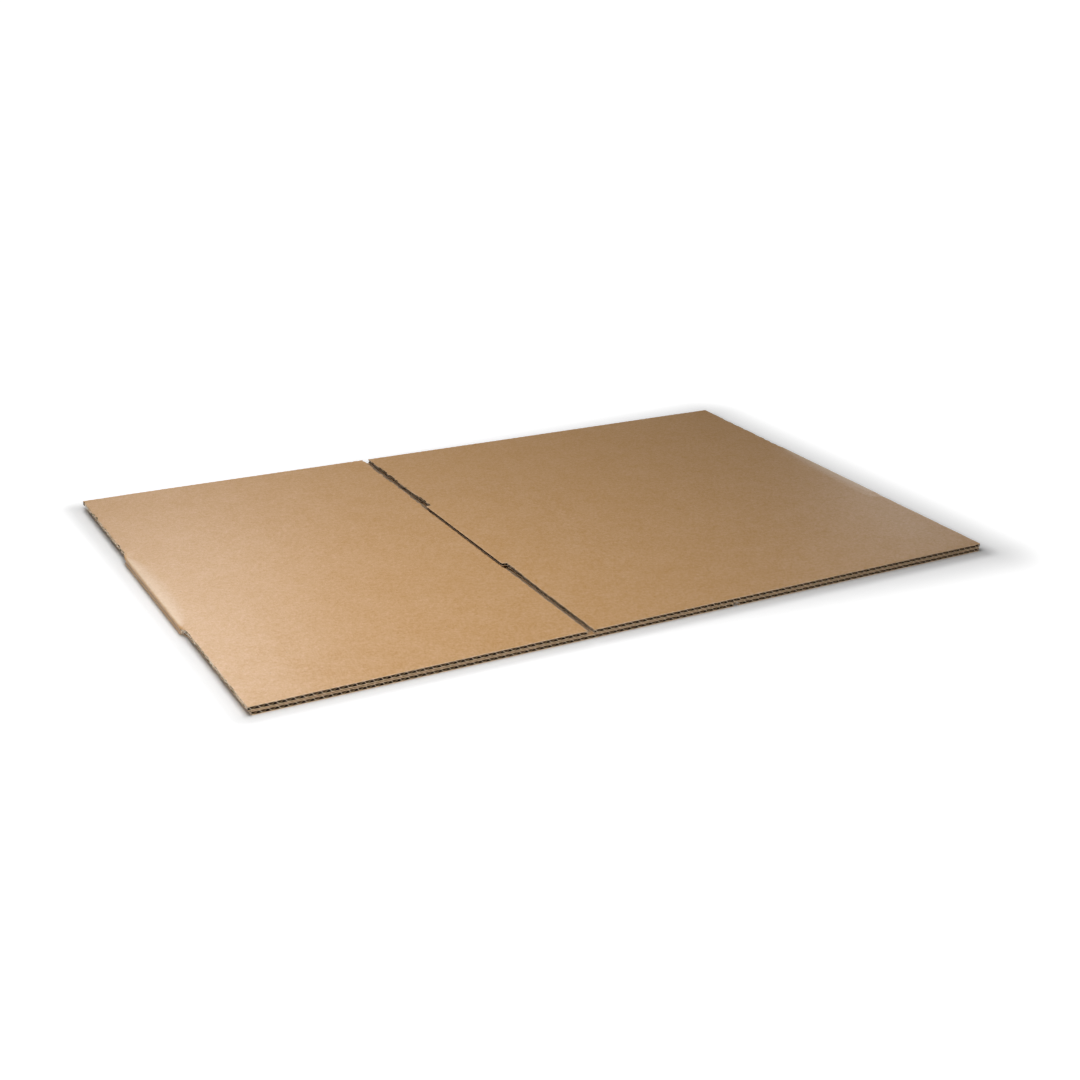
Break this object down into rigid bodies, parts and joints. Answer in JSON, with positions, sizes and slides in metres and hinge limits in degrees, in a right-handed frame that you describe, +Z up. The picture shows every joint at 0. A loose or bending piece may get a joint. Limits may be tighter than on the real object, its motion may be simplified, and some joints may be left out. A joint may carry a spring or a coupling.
{
  "type": "flattened cardboard box",
  "caption": "Slotted shipping box of corrugated kraft board, folded flat: two layers of board joined by smooth folds at both ends and a glued side joint, with flaps lying in plane.",
  "frame": {"origin": "centre of the bounding box at the underside, where the box lies on a surface", "axes": "+X across the panels, from the fold of the short upper panel to the fold of the long one; +Y along the flutes; +Z up through the two layers of board"},
  "size_m": [0.82, 0.494, 0.0101],
  "materials": {
    "kraft_board": "matte"
  },
  "bodies": {
    "root": {"flattened_box": "kraft_board"}
  },
  "joints": []
}
